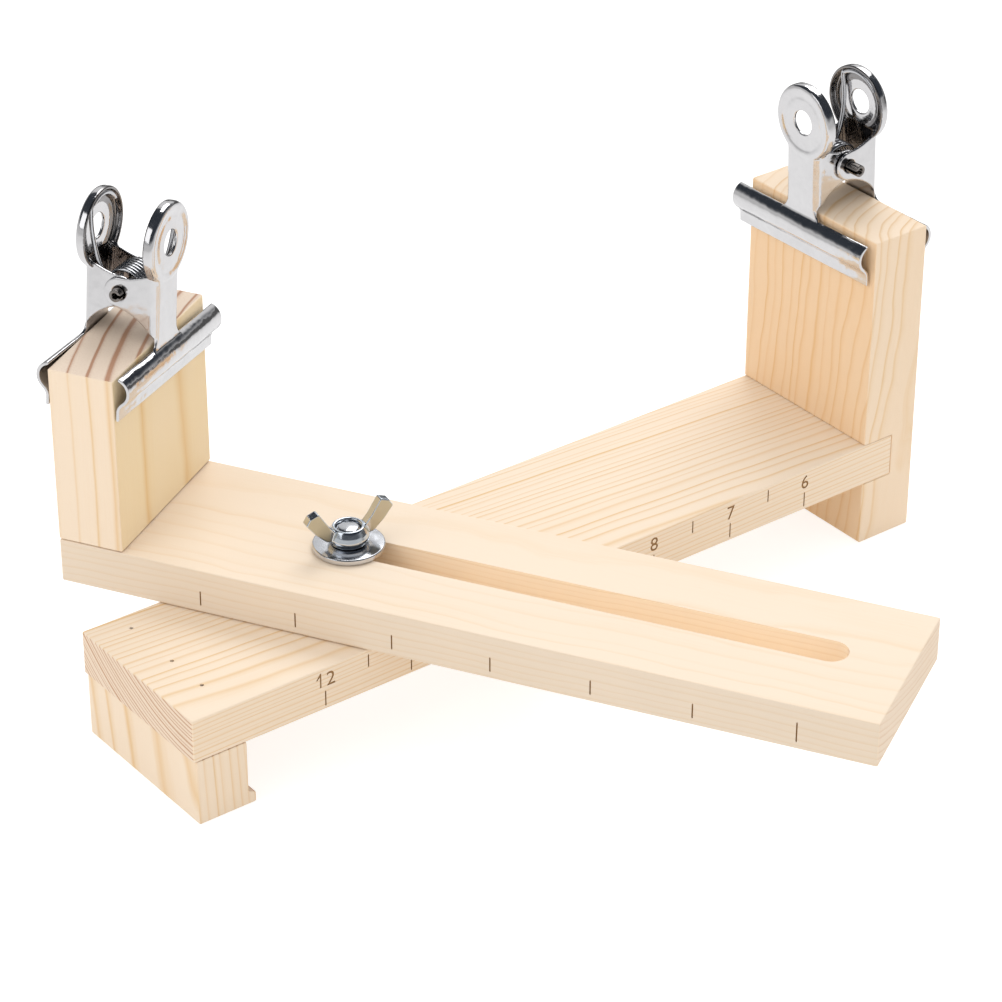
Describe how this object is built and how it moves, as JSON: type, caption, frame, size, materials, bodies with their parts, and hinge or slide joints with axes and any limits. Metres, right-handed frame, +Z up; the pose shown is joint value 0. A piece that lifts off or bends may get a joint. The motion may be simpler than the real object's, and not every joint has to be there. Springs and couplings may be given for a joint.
{
  "type": "bracelet weaving jig",
  "caption": "Adjustable wooden jig: crossed boards pivot and slide on a bolt with a wing nut, and spring clips on their posts hold a cord bracelet taut.",
  "frame": {"origin": "middle of the footprint, on the surface that the jig stands on", "axes": "+X along the base board towards its post, +Z up; the base board's front edge with the scale faces -Y"},
  "size_m": [0.2318, 0.2098, 0.1255],
  "materials": {
    "pine": "bare planed and sanded pine, matt",
    "plated_sheet": "bright nickel-plated sheet steel",
    "spring_wire": "bright spring wire",
    "zinc_hardware": "bright zinc-plated steel",
    "brad_steel": "bright drawn steel"
  },
  "bodies": {
    "base": {"base_board": "pine", "base_post": "pine", "base_foot": "pine", "carriage_bolt": "zinc_hardware", "foot_brad_1": "brad_steel", "foot_brad_2": "brad_steel", "foot_brad_3": "brad_steel", "post_brad_1": "brad_steel", "post_brad_2": "brad_steel", "post_brad_3": "brad_steel"},
    "bolt_washer": {"washer": "zinc_hardware"},
    "arm": {"arm_board": "pine", "arm_post": "pine", "arm_brad_1": "brad_steel", "arm_brad_2": "brad_steel", "arm_brad_3": "brad_steel"},
    "wing_nut": {"wing_nut": "zinc_hardware"},
    "base_clip": {"base_clip_pin": "plated_sheet", "base_clip_spring": "spring_wire"},
    "base_clip_inner": {"base_clip_inner_jaw": "plated_sheet"},
    "base_clip_outer": {"base_clip_outer_jaw": "plated_sheet"},
    "arm_clip": {"arm_clip_pin": "plated_sheet", "arm_clip_spring": "spring_wire"},
    "arm_clip_inner": {"arm_clip_inner_jaw": "plated_sheet"},
    "arm_clip_outer": {"arm_clip_outer_jaw": "plated_sheet"}
  },
  "joints": [
    {"name": "arm_swivel", "type": "hinge", "parent": "base", "child": "bolt_washer", "pos_m": [-0.05325, 0.03033, 0.03], "axis": [0, 0, 1], "range_deg": [-60, 180]},
    {"name": "arm_slide", "type": "slide", "parent": "bolt_washer", "child": "arm", "axis": [0.5054, -0.8629, 0], "range_m": [-0.12, 0.0025]},
    {"name": "wing_nut_turn", "type": "hinge", "parent": "base", "child": "wing_nut", "pos_m": [-0.05325, 0.03033, 0.046], "axis": [0, 0, 1], "range_deg": [0, 450]},
    {"name": "base_clip_lift", "type": "slide", "parent": "base", "child": "base_clip", "axis": [0, 0, 1], "range_m": [0, 0.03]},
    {"name": "base_clip_squeeze", "type": "hinge", "parent": "base_clip", "child": "base_clip_inner", "pos_m": [0.10301, 0.03155, 0.10121], "axis": [0, 0.9998, -0.0175], "range_deg": [0, 17], "stiffness_Nm_per_rad": 0.2, "springref_deg": -20.05, "deforming": ["base_clip_spring"]},
    {"name": "base_clip_outer_jaw", "type": "hinge", "parent": "base_clip", "child": "base_clip_outer", "pos_m": [0.10301, 0.03155, 0.10121], "axis": [0, 0.9998, -0.0175], "range_deg": [-17, 0]},
    {"name": "arm_clip_lift", "type": "slide", "parent": "arm", "child": "arm_clip", "axis": [0, 0, 1], "range_m": [0, 0.03]},
    {"name": "arm_clip_squeeze", "type": "hinge", "parent": "arm_clip", "child": "arm_clip_inner", "pos_m": [-0.07883, 0.08226, 0.10184], "axis": [-0.8603, -0.5039, 0.0767], "range_deg": [0, 17], "stiffness_Nm_per_rad": 0.2, "springref_deg": -20.05, "deforming": ["arm_clip_spring"]},
    {"name": "arm_clip_outer_jaw", "type": "hinge", "parent": "arm_clip", "child": "arm_clip_outer", "pos_m": [-0.07883, 0.08226, 0.10184], "axis": [-0.8603, -0.5039, 0.0767], "range_deg": [-17, 0]}
  ],
  "couplings": [
    {"joint": "base_clip_outer_jaw", "follows": "base_clip_squeeze", "ratio": -1},
    {"joint": "arm_clip_outer_jaw", "follows": "arm_clip_squeeze", "ratio": -1}
  ]
}
